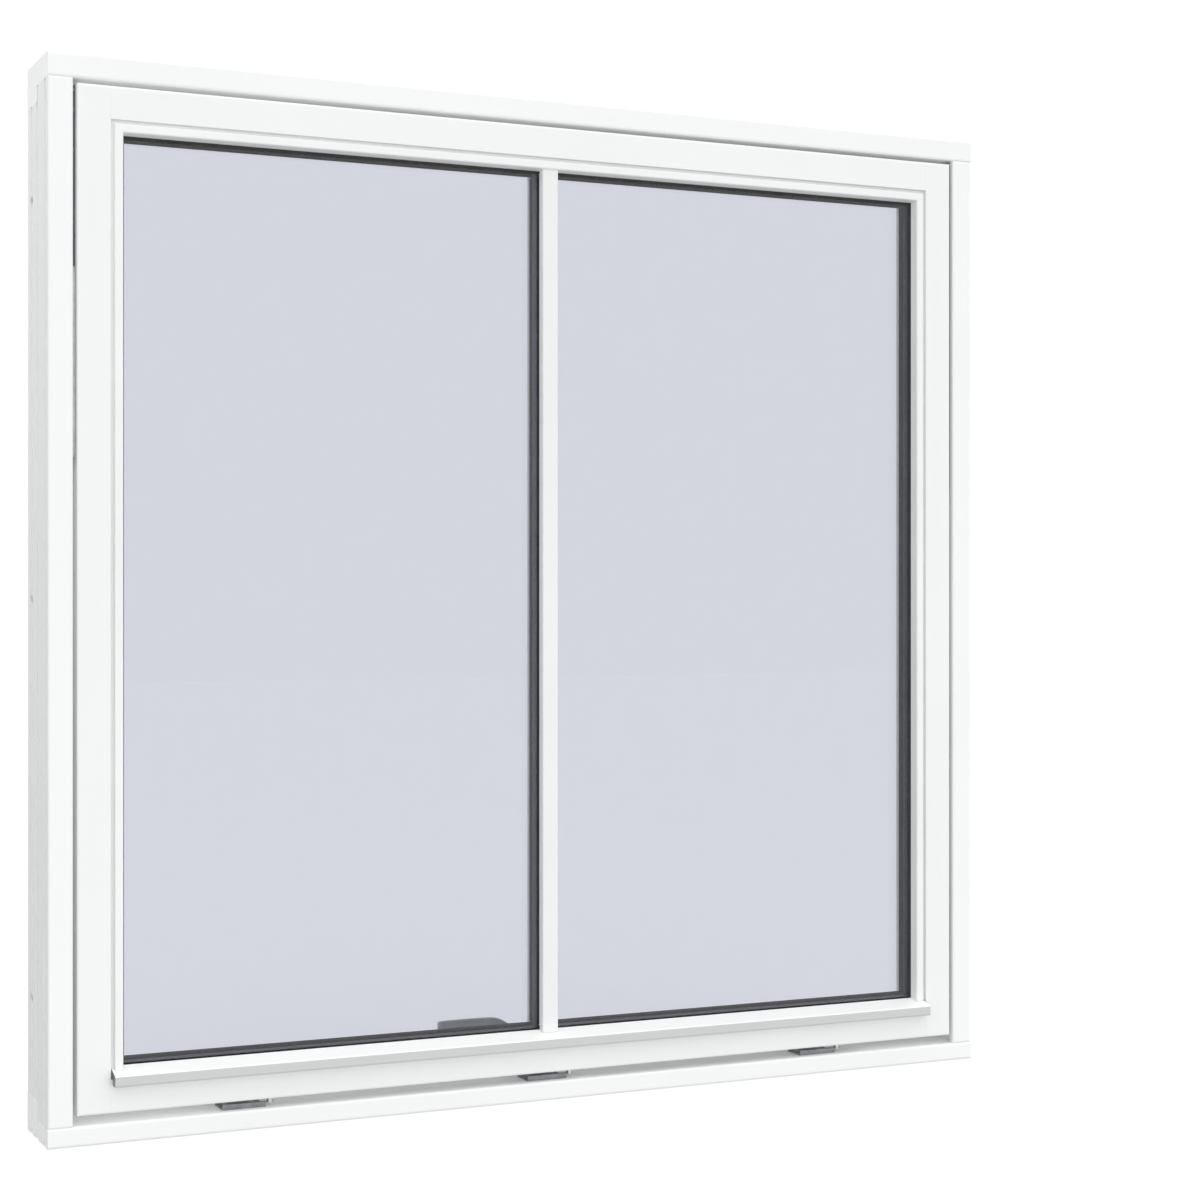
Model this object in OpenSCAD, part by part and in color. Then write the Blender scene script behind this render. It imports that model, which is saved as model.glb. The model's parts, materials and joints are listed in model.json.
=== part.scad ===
// Top-guided timber window: an outward-opening sash carried on stay arms and sliding
// shoes, in a fixed frame, with a sealed double-glazed unit and an edge-mounted lock.
// Origin: centre of the underside of the sill. +X right seen from outside, +Y into the
// room, +Z up. Depths called v run inwards from the outside face of the frame.

/* [Frame] */
// Overall width of the frame
frame_w = 1188; // [900:1:1800]
// Overall height of the frame
frame_h = 1188; // [900:1:1800]
// Overall depth of the frame
frame_d = 110; // [100:1:140]
// Face width of a jamb beside the sash
jamb_face = 27.5; // [24:0.5:36]
// Face height of the head above the sash
head_face = 27; // [24:0.5:40]
// Face height of the sill below the sash
sill_face = 22; // [18:0.5:40]
// Distance from the outer edge to the inner edge of the stop on jambs and head
stop_face = 45; // [43:0.5:60]
// Height of the stop on the sill above its underside
sill_stop = 43; // [40:0.5:44]
// Depth of the lip in front of the hardware chamber of a jamb
lip_depth = 9; // [6:0.5:9]
// Thickness of a jamb behind its hardware chamber
chamber_wall = 20; // [16:0.5:20]
// Depth of the three grooves along the outer side of each jamb
side_groove_depth = 2; // [1:0.5:4]
// Radius of the rounded edges of frame and sash
edge_r = 3; // [1:0.5:4]
// Radius of the eased ends of the jambs
joint_r = 2.2; // [0.5:0.1:2.4]

/* [Sash] */
// Gap between a jamb face and the sash
side_gap = 4.5; // [4.5:0.1:6]
// Gap between the head and the sash
top_gap = 5; // [4:0.5:8]
// Gap between the sill and the sash
bottom_gap = 11; // [10.5:0.5:14]
// Depth of the sash
sash_d = 54.5; // [52:0.5:64]
// Face width of stiles and rails
sash_face = 36.5; // [35:0.5:60]
// Gap between the back of the sash and the stop
stop_gap = 4; // [3:0.5:6]
// Radius of the eased edges where rails and stiles meet
sash_joint_r = 0.6; // [0.3:0.1:1.5]

/* [Glazing] */
// Thickness of each pane
pane_t = 4; // [3:1:6]
// Depth of the sealed cavity
cavity_d = 14; // [12:1:16]
// Depth from the sash face to the outer pane
pane_v = 16; // [14:0.5:17]
// Width of the shadow groove between sash and bead
bead_groove = 4.5; // [3:0.1:6]
// Visible face width of a bead
bead_face = 9.2; // [8:0.1:14]
// How much deeper the bead stands out at its back than at its face
bead_draft = 1.6; // [0:0.1:3]
// Width of the outer glazing bar
bar_w = 20; // [16:1:40]
// Width of the inner glazing bar and of the spacer bar between the panes
inner_bar_w = 22; // [16:1:40]
// How far the nose of the drip bead stands out in front of the sash
drip_reach = 13; // [8:0.5:20]

/* [Stay arms] */
// Distance from one pivot to the next along a stay
stay_l = 198; // [150:1:220]
// Distance from the top of the sash to the shoe pivot
shoe_drop = 4.5; // [4.5:0.5:10]
// Depth of the pivot line behind the outside face
pivot_v = 17; // [17:0.5:20]
// Width of an arm and of a sash plate
arm_w = 16; // [12:0.5:16]
// Radius of the pivot pins
pin_r = 3; // [2:0.25:3]

/* [Lock] */
// Distance from the side of the frame to the middle of an outer keep
keep_inset = 222; // [150:1:300]
// Length of a keep
keep_l = 50; // [36:1:60]
// Depth of the lock line behind the outside face
lock_v = 20; // [20:0.5:24]
// Radius of a locking cam
cam_r = 3.5; // [3:0.25:4]
// Height of the handle spindle above the underside of the sill
spindle_z = 53; // [53:0.25:53.5]
// Side of the square spindle
spindle_w = 7; // [6:0.5:8]
// Reach of the lever from the spindle to its tip
lever_l = 111; // [80:1:140]
// Angle that the handle turns through, in degrees
handle_turn = 90; // [60:5:100]

/* [Hidden] */
$fn = 48;

// Clearances
run = 0.05;            // radial clearance of a pin in its bore
slip = 0.3;            // clearance between sliding pieces
seat = 0.1;            // clearance of a piece let into timber

// Frame and sash edges
half_w = frame_w / 2;
sash_u = jamb_face + side_gap;
sash_top = frame_h - head_face - top_gap;
sash_bottom = sill_face + bottom_gap;
sash_half = half_w - sash_u;
stop_v = sash_d + stop_gap;
groove_spans = [[11.6, 21], [53, 64], [83, 93]];

// Glazing rebate, measured inwards from the edge of the sash
rebate_edge = sash_face - 3;                   // floor of the rebate
bead_start = sash_face + bead_groove;
sight = bead_start + bead_face;                // sight line
pane_edge = sash_face + 1;
inner_pane_v = pane_v + pane_t + cavity_d;
pane_back = inner_pane_v + pane_t;
gasket_t = 4;                                  // outer glazing gasket
gasket_edge = pane_edge + 1.5;
feather_t = 1.5;                               // thin lip of a gasket along the glass
outer_feather = sight + 4.4;                   // how far each lip reaches
inner_feather = sight + 5.4;
bead_back = pane_v - gasket_t;
rebate_lip = bead_back + 1;                    // depth of the bead seat
inner_lip_v = pane_back + 4;                   // front of the sash lip behind the glass
spacer_h = 9;
spacer_start = sight + 1 - spacer_h;
bead_proud = 0.5;                              // bead face in front of the sash face
groove_floor = 5;
barb_v = [bead_back - 2.8, bead_back - 1];     // clip along the foot of each bead
barb_l = 1.7;
bead_slack = 0.2;
tape_t = 1;
bar_front = 2;
bar_back = 51;
bar_edge = 1.8;                                // radius of a bar's visible edges
bar_lift = 0.5;                                // gap under the foot of the outer bar
block_l = 100;                                 // setting blocks
block_inset = 150;

// Drip bead
drip_foot = sash_bottom + sash_face + bead_slack;
drip_top = sash_bottom + sight - 0.3;
drip_nose_top = sash_bottom + sash_face + 5.8;
drip_nose_low = sash_bottom + sash_face - 6;
drip_lip = 2.5;
drip_wall = 1.6;
drip_half = half_w - sash_u - sash_face - 1.8;
drip_slope = (drip_top - drip_nose_top) / (bead_back + drip_reach);
cap_t = 1.5;

// Weather seal in the stop
seal_u = [35, 41];
seal_root_u = [36.5, 39.5];
seal_gap = 0.6;                                // gap to the back of the sash
seal_root = 5;

// Stay arms, shoes and rails, measured inwards from the side of the frame
shoe_z = sash_top - shoe_drop;
mid_z = shoe_z - stay_l;
foot_z = shoe_z - 2 * stay_l;
rail_wall = 1.5;
rail_u = chamber_wall;
rail_face_u = jamb_face + 0.5;
rail_slot = 3.8;                               // half width of the slot in the rail
rail_half = 7;
rail_low = foot_z - 16.5;
arm_u = rail_face_u + 0.2;
arm_t = 2.8;
plate_u = sash_u - 0.7;
plate_t = 2.5;
plate_l = stay_l + 55;
plate_end_r = 4;
// Screws below the top of the sash, clear of the pivots
rail_screw_drops = [50, stay_l - 58, stay_l + 52, 2 * stay_l - 51];
plate_screw_drops = [26, 70, stay_l - 48, stay_l + 42];
stay_screw_r = 1.75;
stay_screw_l = 18;
bush_wall = 1.2;
stud_r = rail_half - rail_wall - slip;         // half width of what lies in the channel of a rail
stud_head = 0.8;                               // head of a foot pin past its journal
shoe_tail = 36;                                // length of a shoe below its pivot

// Lock, with an involute pinion and a straight rack
pitch_r = 9;
teeth = 12;
pressure = 25;
tooth_module = 2 * pitch_r / teeth;
addendum = 1.3;
dedendum = 1.45;
backlash = 0.15;
travel = pitch_r * handle_turn * PI / 180;
gear_w = 10;
keep_x = half_w - keep_inset;
keep_front = 12;                               // depth of the front of a keep
keep_lip_t = 2.6;
keep_base_t = 2.2;
keep_rise = 6.5;
keep_back = lock_v + 24;
keep_screw_v = lock_v + 16;
keep_screw_inset = 9;
keep_screw_r = 1.75;
keep_screw_l = 18;
cam_foot = sill_face + keep_base_t + 1.2;
cam_flange_t = 1.2;
cam_flange = 1;                                // flange past the roller
tenon_r = 2.5;                                 // tenon of a cam in the rod
cam_clear = cam_r + 3.2;
cam_places = [for (x = [-keep_x, 0, keep_x]) x + keep_l / 2 + cam_clear];
face_t = 2;
rod_t = 3;
rod_w = 12;
rod_z = sash_bottom + face_t + slip;
rod_start = cam_places[0] - 12;
rod_end = cam_places[2] + 12;
groove_start = rod_start - travel - 4;
groove_end = rod_end + 4;
face_margin = 10;
face_w = 18;
face_screw_r = 1.5;
face_screw_l = 16;
case_half = 30;
case_wall = 1.5;
case_v = [lock_v - gear_w / 2 - 2.4, lock_v + gear_w / 2 + 2.4];
case_base = rod_z + rod_t + slip;
case_top = spindle_z + pitch_r + addendum + 1.7;
journal_r = 6.2;
rack_pitch_z = spindle_z - pitch_r;

// Handle
base_t = 8;
base_r = 7.2;
base_screw_x = 20;
base_screw_r = 1.75;
base_screw_l = 26;
hub_r = 7;
grip_v = [sash_d + 30, sash_d + 39.5];
grip_z = [spindle_z + 23, spindle_z + 35];
lever_bend = 34;                               // where the lever's top edge starts down to the hub

// Fixings
sleeve_r = 7;
sleeve_bore = 4.2;
sleeve_v = 88;
sleeve_inset = 150;
sleeve_recess = 4;
sleeve_heights = [sleeve_inset, frame_h / 2, frame_h - sleeve_inset];
corner_screw_u = 10;
corner_screw_v = [30, 72];
corner_screw_l = 80;
corner_screw_r = 2.5;
corner_head_r = 5;
corner_sunk = 6;                               // depth of the counterbore for the head
dowel_r = 5;
dowel_l = 50;
dowel_v = 27;
dowel_rise = [10, 24];

// Colours
paint = [0.96, 0.965, 0.97];
zinc = [0.72, 0.73, 0.74];
dark_zinc = [0.45, 0.46, 0.48];
seal_black = [0.16, 0.16, 0.17];
nylon = [0.25, 0.25, 0.27];
satin = [0.5, 0.5, 0.51];
pale_wood = [0.85, 0.72, 0.52];

// ---- Shared functions and shapes ----

// Y coordinate of a depth v behind the outside face
function depth(v) = v - frame_d / 2;

function unit(a) = a / norm(a);

// Points of an arc of radius r that rounds the corner p between a and b
function corner_arc(a, p, b, r, steps) =
    let (
        to_a = unit(a - p),
        to_b = unit(b - p),
        half = acos(to_a * to_b) / 2,
        middle = p + unit(to_a + to_b) * r / sin(half),
        first = p + to_a * r / tan(half) - middle,
        last = p + to_b * r / tan(half) - middle,
        start = atan2(first[1], first[0]),
        sweep = (atan2(last[1], last[0]) - start + 540) % 360 - 180
    )
    [for (k = [0:steps]) middle + r * [cos(start + sweep * k / steps), sin(start + sweep * k / steps)]];

// Outline from corners [a, b, radius]
function rounded(corners, steps = 5) =
    let (n = len(corners))
    [for (i = [0:n - 1])
        let (
            p = corners[i],
            a = corners[(i + n - 1) % n],
            b = corners[(i + 1) % n]
        )
        each (p[2] == 0 ? [[p[0], p[1]]]
            : corner_arc([a[0], a[1]], [p[0], p[1]], [b[0], b[1]], p[2], steps))];

// Outline given in (x, v), extruded from height z0 to z1
module upright(corners, z0, z1) {
    translate([0, depth(0), z0]) linear_extrude(z1 - z0) polygon(rounded(corners));
}

// Outline given in (v, z), extruded from x0 to x1
module lengthwise(corners, x0, x1) {
    translate([x0, depth(0), 0])
        rotate([90, 0, 90]) linear_extrude(x1 - x0) polygon(rounded(corners));
}

// Outline given in (x, z), extruded from depth v0 to v1
module inward(corners, v0, v1) {
    translate([0, depth(v1), 0]) rotate([90, 0, 0]) linear_extrude(v1 - v0) polygon(rounded(corners));
}

// Box from its lowest to its highest corner, in (x, v, z)
module block(low, high) {
    translate([low[0], depth(low[1]), low[2]]) cube(high - low);
}

module cylinder_x(x0, x1, v, z, r) {
    translate([x0, depth(v), z]) rotate([0, 90, 0]) cylinder(h = x1 - x0, r = r);
}

module cylinder_y(v0, v1, x, z, r) {
    translate([x, depth(v1), z]) rotate([90, 0, 0]) cylinder(h = v1 - v0, r = r);
}

module cylinder_z(z0, z1, x, v, r) {
    translate([x, depth(v), z0]) cylinder(h = z1 - z0, r = r);
}

// Countersunk screw along +Z with the flat of its head at the origin
module countersunk_screw(shank_r, length) {
    rotate_extrude()
        polygon([[0, 0], [2 * shank_r, 0], [shank_r, -shank_r], [shank_r, 1.5 * shank_r - length],
            [0, -length]]);
}

// Hole for such a screw
module countersunk_hole(shank_r, length) {
    rotate_extrude()
        polygon([[0, 1], [2 * shank_r + seat, 1], [2 * shank_r + seat, 0], [shank_r + seat, -shank_r],
            [shank_r + seat, -length - seat], [0, -length - seat]]);
}

module mirrored() {
    mirror([1, 0, 0]) children();
}

module both_sides() {
    children();
    mirrored() children();
}

// Rectangular ring in the plane of the sash, between two distances from its edge
module sash_ring(from_edge, to_edge, v0, v1) {
    difference() {
        block([from_edge - sash_half, v0, sash_bottom + from_edge],
            [sash_half - from_edge, v1, sash_top - from_edge]);
        block([to_edge - sash_half, v0 - 1, sash_bottom + to_edge],
            [sash_half - to_edge, v1 + 1, sash_top - to_edge]);
    }
}

// Rectangular ring round the frame, between two distances from its edge
module frame_ring(from_edge, to_edge, v0, v1) {
    difference() {
        block([from_edge - half_w, v0, from_edge], [half_w - from_edge, v1, frame_h - from_edge]);
        block([to_edge - half_w, v0 - 1, to_edge], [half_w - to_edge, v1 + 1, frame_h - to_edge]);
    }
}

// ---- Fixed frame ----

module seal_kerf() {
    frame_ring(seal_root_u[0] - seat, seal_root_u[1] + seat, stop_v - 1, stop_v + seal_root + seat);
}

module side_grooves(x, top) {
    for (span = groove_spans)
        block([x - side_groove_depth, span[0], -1], [x + side_groove_depth, span[1], top]);
}

module at_corner_screws() {
    for (v = corner_screw_v)
        both_sides()
            for (end = [0, 1])
                translate([corner_screw_u - half_w, depth(v), end * frame_h]) mirror([0, 0, 1 - end])
                    children();
}

module corner_screw_holes() {
    at_corner_screws() {
        translate([0, 0, -corner_screw_l - seat])
            cylinder(h = corner_screw_l + 1, r = corner_screw_r + seat);
        translate([0, 0, -corner_sunk]) cylinder(h = corner_sunk + 1, r = corner_head_r + seat);
    }
}

module frame_head() color(paint) difference() {
    lengthwise([
        [0, frame_h, edge_r], [0, frame_h - head_face, edge_r], [stop_v, frame_h - head_face, 0],
        [stop_v, frame_h - stop_face, joint_r], [frame_d, frame_h - stop_face, edge_r],
        [frame_d, frame_h, edge_r]
    ], -half_w, half_w);
    seal_kerf();
    corner_screw_holes();
}

module frame_sill() color(paint) difference() {
    lengthwise([
        [0, 0, edge_r], [0, sill_face, edge_r], [stop_v, sill_face, 0], [stop_v, sill_stop, joint_r],
        [frame_d, sill_stop, edge_r], [frame_d, 0, edge_r]
    ], -half_w, half_w);
    seal_kerf();
    corner_screw_holes();
    both_sides() side_grooves(-half_w, sill_stop + 1);
    for (x = [-keep_x, 0, keep_x]) at_keep_screws(x) countersunk_hole(keep_screw_r, keep_screw_l);
}

module jamb() {
    difference() {
        intersection() {
            upright([
                [-half_w, 0, edge_r], [jamb_face - half_w, 0, edge_r],
                [jamb_face - half_w, lip_depth, joint_r], [chamber_wall - half_w, lip_depth, 0],
                [chamber_wall - half_w, stop_v, 0], [stop_face - half_w, stop_v, joint_r],
                [stop_face - half_w, frame_d, edge_r], [-half_w, frame_d, edge_r]
            ], 0, frame_h);
            lengthwise([
                [0, sill_face, joint_r], [stop_v, sill_face, 0], [stop_v, sill_stop, 0],
                [frame_d, sill_stop, joint_r], [frame_d, frame_h - stop_face, joint_r],
                [stop_v, frame_h - stop_face, 0], [stop_v, frame_h - head_face, 0],
                [0, frame_h - head_face, joint_r]
            ], -half_w - 1, 0);
        }
        seal_kerf();
        corner_screw_holes();
        side_grooves(-half_w, frame_h);
        for (z = sleeve_heights)
            cylinder_x(-half_w - 1, stop_face - half_w + 1, sleeve_v, z, sleeve_r + seat);
        at_rail_screws() countersunk_hole(stay_screw_r, stay_screw_l);
    }
}

module frame_jamb_left() color(paint) jamb();
module frame_jamb_right() color(paint) mirrored() jamb();

module frame_gasket() color(seal_black) {
    frame_ring(seal_u[0], seal_u[1], sash_d + seal_gap, stop_v);
    frame_ring(seal_root_u[0], seal_root_u[1], stop_v, stop_v + seal_root);
}

module frame_corner_screws() color(zinc) at_corner_screws() {
    translate([0, 0, -corner_screw_l]) cylinder(h = corner_screw_l - corner_sunk, r = corner_screw_r);
    translate([0, 0, -corner_sunk]) cylinder(h = corner_sunk - 2, r = corner_head_r);
}

module frame_sleeves() color(zinc) both_sides() for (z = sleeve_heights) difference() {
    cylinder_x(side_groove_depth - half_w, stop_face - sleeve_recess - half_w, sleeve_v, z, sleeve_r);
    cylinder_x(-half_w, stop_face - half_w, sleeve_v, z, sleeve_bore);
}

// ---- Guide rails, stay arms and shoes ----

module at_rail_screws() {
    for (drop = rail_screw_drops)
        translate([rail_u + rail_wall - half_w, depth(pivot_v), sash_top - drop])
            rotate([0, 90, 0]) children();
}

module guide_rail() {
    difference() {
        upright([
            [rail_u - half_w, pivot_v - rail_half, 0],
            [rail_face_u - half_w, pivot_v - rail_half, 0.8],
            [rail_face_u - half_w, pivot_v - rail_slot, 0],
            [rail_face_u - rail_wall - half_w, pivot_v - rail_slot, 0],
            [rail_face_u - rail_wall - half_w, pivot_v - rail_half + rail_wall, 0],
            [rail_u + rail_wall - half_w, pivot_v - rail_half + rail_wall, 0],
            [rail_u + rail_wall - half_w, pivot_v + rail_half - rail_wall, 0],
            [rail_face_u - rail_wall - half_w, pivot_v + rail_half - rail_wall, 0],
            [rail_face_u - rail_wall - half_w, pivot_v + rail_slot, 0],
            [rail_face_u - half_w, pivot_v + rail_slot, 0],
            [rail_face_u - half_w, pivot_v + rail_half, 0.8],
            [rail_u - half_w, pivot_v + rail_half, 0]
        ], rail_low, sash_top);
        at_rail_screws() countersunk_hole(stay_screw_r, stay_screw_l);
    }
}

module guide_rail_left() color(zinc) guide_rail();
module guide_rail_right() color(zinc) mirrored() guide_rail();
module guide_rail_screws() color(zinc)
    both_sides() at_rail_screws() countersunk_screw(stay_screw_r, stay_screw_l);

// Stud held in the rail: block in the channel, journal through the arm, thin head
module arm_foot_pins() color(zinc) both_sides() {
    cylinder_x(rail_u + rail_wall - half_w, rail_face_u - rail_wall - half_w, pivot_v, foot_z, stud_r);
    cylinder_x(rail_face_u - rail_wall - half_w, arm_u + arm_t - half_w, pivot_v, foot_z, pin_r);
    cylinder_x(arm_u + arm_t - half_w, sash_u - slip - half_w, pivot_v, foot_z, pin_r + stud_head);
}

module arm_outline(x0, x1) {
    cylinder_x(x0, x1, pivot_v, foot_z, arm_w / 2);
    cylinder_x(x0, x1, pivot_v, mid_z, arm_w / 2);
    block([x0, pivot_v - arm_w / 2, foot_z], [x1, pivot_v + arm_w / 2, mid_z]);
}

module stay_arm() {
    x0 = arm_u - half_w;
    difference() {
        arm_outline(x0, x0 + arm_t);
        for (z = [foot_z, mid_z])
            cylinder_x(x0 - 1, x0 + arm_t + 1, pivot_v, z, pin_r + run + bush_wall);
    }
}

module stay_arm_left() color(zinc) stay_arm();
module stay_arm_right() color(zinc) mirrored() stay_arm();

module arm_bushes() color(nylon) both_sides() for (z = [foot_z, mid_z]) difference() {
    cylinder_x(arm_u - half_w, arm_u + arm_t - half_w, pivot_v, z, pin_r + bush_wall);
    cylinder_x(arm_u - half_w - 1, arm_u + arm_t + 1 - half_w, pivot_v, z, pin_r + run);
}

// Shoe that runs in the rail and hangs from its pin at the top of the sash
module guide_shoe() {
    low = shoe_z - shoe_tail;
    high = shoe_z + shoe_drop - slip;
    x0 = rail_u + rail_wall + slip - half_w;
    x1 = rail_face_u - rail_wall - slip - half_w;
    difference() {
        lengthwise([
            [pivot_v - stud_r, low, 2], [pivot_v - stud_r, high, 1.5],
            [pivot_v + stud_r, high, 1.5], [pivot_v + stud_r, low, 2]
        ], x0, x1);
        cylinder_x(x0 - 1, x1 + 1, pivot_v, shoe_z, pin_r + run);
    }
}

module guide_shoe_left() color(nylon) guide_shoe();
module guide_shoe_right() color(nylon) mirrored() guide_shoe();

module at_plate_screws() {
    for (drop = plate_screw_drops)
        translate([plate_u - half_w, depth(pivot_v), sash_top - drop])
            rotate([0, -90, 0]) children();
}

module plate_outline(grow, x0, x1) {
    lengthwise([
        [pivot_v - arm_w / 2 - grow, sash_top + grow, 0],
        [pivot_v + arm_w / 2 + grow, sash_top + grow, 0],
        [pivot_v + arm_w / 2 + grow, sash_top - plate_l - grow, plate_end_r],
        [pivot_v - arm_w / 2 - grow, sash_top - plate_l - grow, plate_end_r]
    ], x0, x1);
}

module sash_plate() {
    x0 = plate_u - half_w;
    difference() {
        plate_outline(0, x0, x0 + plate_t);
        for (z = [shoe_z, mid_z]) cylinder_x(x0 - 1, x0 + plate_t + 1, pivot_v, z, pin_r + run);
        at_plate_screws() countersunk_hole(stay_screw_r, stay_screw_l);
    }
}

module sash_plate_left() color(dark_zinc) sash_plate();
module sash_plate_right() color(dark_zinc) mirrored() sash_plate();
module sash_plate_screws() color(zinc)
    both_sides() at_plate_screws() countersunk_screw(stay_screw_r, stay_screw_l);

module arm_middle_pins() color(zinc) both_sides()
    cylinder_x(arm_u + 0.15 - half_w, plate_u + plate_t - half_w, pivot_v, mid_z, pin_r);

module shoe_pins() color(zinc) both_sides()
    cylinder_x(rail_u + rail_wall + 2 * slip - half_w, plate_u + plate_t - half_w, pivot_v, shoe_z, pin_r);

// ---- Sash timbers ----

module bead_kerf() {
    sash_ring(sash_face - barb_l - seat, sash_face + 1, barb_v[0] - seat, barb_v[1] + seat);
}

module at_dowels() {
    both_sides() {
        for (rise = dowel_rise) {
            translate([sash_face - sash_half - dowel_l / 2, depth(dowel_v), sash_bottom + rise])
                rotate([0, 90, 0]) children();
            translate([sash_face - sash_half - dowel_l / 2, depth(dowel_v), sash_top - rise])
                rotate([0, 90, 0]) children();
        }
    }
}

module dowel_holes() {
    at_dowels() translate([0, 0, -seat]) cylinder(h = dowel_l + 2 * seat, r = dowel_r + seat);
}

module sash_stile() {
    difference() {
        intersection() {
            upright([
                [-sash_half, 0, edge_r], [sash_face - sash_half, 0, sash_joint_r],
                [sash_face - sash_half, rebate_lip, 0], [rebate_edge - sash_half, rebate_lip, 0],
                [rebate_edge - sash_half, inner_lip_v, 0], [sight - sash_half, inner_lip_v, 0],
                [sight - sash_half, sash_d, edge_r], [-sash_half, sash_d, edge_r]
            ], sash_bottom, sash_top);
            lengthwise([
                [0, sash_bottom, edge_r], [0, sash_top, edge_r],
                [sash_d, sash_top, edge_r], [sash_d, sash_bottom, edge_r]
            ], -half_w, 0);
        }
        bead_kerf();
        dowel_holes();
        plate_outline(seat, -half_w, plate_u + plate_t - half_w);
        at_plate_screws() countersunk_hole(stay_screw_r, stay_screw_l);
    }
}

module sash_stile_left() color(paint) sash_stile();
module sash_stile_right() color(paint) mirrored() sash_stile();

// Plan of a rail between the stiles, in (x, v)
module rail_plan() {
    face = sash_half - sash_face;
    floor_x = sash_half - rebate_edge;
    lip = sash_half - sight;
    upright([
        [-face, 0, sash_joint_r], [-face, rebate_lip, 0], [-floor_x, rebate_lip, 0],
        [-floor_x, inner_lip_v, 0], [-lip, inner_lip_v, 0], [-lip, sash_d, sash_joint_r],
        [lip, sash_d, sash_joint_r], [lip, inner_lip_v, 0], [floor_x, inner_lip_v, 0],
        [floor_x, rebate_lip, 0], [face, rebate_lip, 0], [face, 0, sash_joint_r]
    ], 0, frame_h);
}

// Section of a rail in (v, z); rise is +1 for the bottom rail and -1 for the top rail
module rail_section(edge_z, rise) {
    lengthwise([
        [0, edge_z, edge_r], [0, edge_z + rise * sash_face, sash_joint_r],
        [rebate_lip, edge_z + rise * sash_face, 0], [rebate_lip, edge_z + rise * rebate_edge, 0],
        [inner_lip_v, edge_z + rise * rebate_edge, 0], [inner_lip_v, edge_z + rise * sight, 0],
        [sash_d, edge_z + rise * sight, edge_r], [sash_d, edge_z, edge_r]
    ], -sash_half, sash_half);
}

module sash_top_rail() color(paint) difference() {
    intersection() {
        rail_section(sash_top, -1);
        rail_plan();
    }
    bead_kerf();
    dowel_holes();
}

module sash_bottom_rail() color(paint) difference() {
    intersection() {
        rail_section(sash_bottom, 1);
        rail_plan();
    }
    bead_kerf();
    dowel_holes();
    faceplate_solid(seat);
    block([groove_start, lock_v - rod_w / 2 - slip, sash_bottom - 1],
        [groove_end, lock_v + rod_w / 2 + slip, case_base]);
    block([-case_half - seat, case_v[0] - seat, case_base - 1],
        [case_half + seat, case_v[1] + seat, case_top + seat]);
    cylinder_y(case_v[1], sash_d + 1, 0, spindle_z, spindle_w);
    at_faceplate_screws() countersunk_hole(face_screw_r, face_screw_l);
    at_handle_screws() countersunk_hole(base_screw_r, base_screw_l);
}

module sash_dowels() color(pale_wood) at_dowels() cylinder(h = dowel_l, r = dowel_r);

// ---- Glazing ----

module pane(v) {
    block([pane_edge - sash_half, v, sash_bottom + pane_edge],
        [sash_half - pane_edge, v + pane_t, sash_top - pane_edge]);
}

module glass_outer() color([0.82, 0.84, 0.85, 0.4]) pane(pane_v);
module glass_inner() color([0.82, 0.84, 0.85, 0.4]) pane(inner_pane_v);

module spacer_frame() color(dark_zinc)
    sash_ring(spacer_start, spacer_start + spacer_h, pane_v + pane_t, inner_pane_v);

module spacer_bar() color(dark_zinc)
    block([-inner_bar_w / 2, pane_v + pane_t + 0.2, sash_bottom + spacer_start + spacer_h],
        [inner_bar_w / 2, inner_pane_v - 0.2, sash_top - spacer_start - spacer_h]);

module edge_sealant() color(seal_black)
    sash_ring(pane_edge + 0.2, spacer_start, pane_v + pane_t, inner_pane_v);

// Ring of the outer gasket, which ends at the top of the drip bead below
module outer_gasket_ring(reach, v0, v1) {
    difference() {
        block([gasket_edge - sash_half, v0, sash_bottom + gasket_edge],
            [sash_half - gasket_edge, v1, sash_top - gasket_edge]);
        block([reach - sash_half, v0 - 1, drip_top], [sash_half - reach, v1 + 1, sash_top - reach]);
    }
}

module glazing_gasket_outer() color(seal_black) {
    outer_gasket_ring(sight + bead_draft, bead_back, pane_v - feather_t);
    outer_gasket_ring(outer_feather, pane_v - feather_t, pane_v);
}

module glazing_gasket_inner() color(seal_black) {
    sash_ring(gasket_edge, inner_feather, pane_back, pane_back + feather_t);
    sash_ring(gasket_edge, sight + bead_draft, pane_back + feather_t, inner_lip_v);
}

module setting_blocks() color(nylon) {
    for (x = [pane_edge + block_inset - sash_half, sash_half - pane_edge - block_inset]) {
        block([x - block_l / 2, pane_v, sash_bottom + rebate_edge],
            [x + block_l / 2, pane_back, sash_bottom + pane_edge]);
        block([x - block_l / 2, pane_v, sash_top - pane_edge],
            [x + block_l / 2, pane_back, sash_top - rebate_edge]);
    }
    both_sides()
        for (z = [sash_bottom + pane_edge + block_inset, sash_top - pane_edge - block_inset])
            block([rebate_edge - sash_half, pane_v, z - block_l / 2],
                [pane_edge - sash_half, pane_back, z + block_l / 2]);
}

// Section of a bead as [distance from the sash edge, depth, radius]
bead_section = [
    [sash_face + bead_slack, groove_floor, 0], [bead_start, groove_floor, 0],
    [bead_start, -bead_proud, 0.8], [sight, -bead_proud, 2.2], [sight + bead_draft, bead_back, 0],
    [sash_face + bead_slack, bead_back, 0], [sash_face + bead_slack, barb_v[1], 0],
    [sash_face - barb_l, barb_v[1], 0.4], [sash_face - barb_l, barb_v[0], 0.4],
    [sash_face + bead_slack, barb_v[0], 0]
];

// Wedge that mitres an upper corner at the left: keeps what lies nearer the side
module mitre_wedge(side) {
    reach = sash_half;
    inward([
        [-sash_half, sash_top, 0], [reach - sash_half, sash_top - reach, 0],
        side ? [-sash_half, sash_top - reach, 0] : [reach - sash_half, sash_top, 0]
    ], -bead_proud - 1, bead_back + 1);
}

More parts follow.
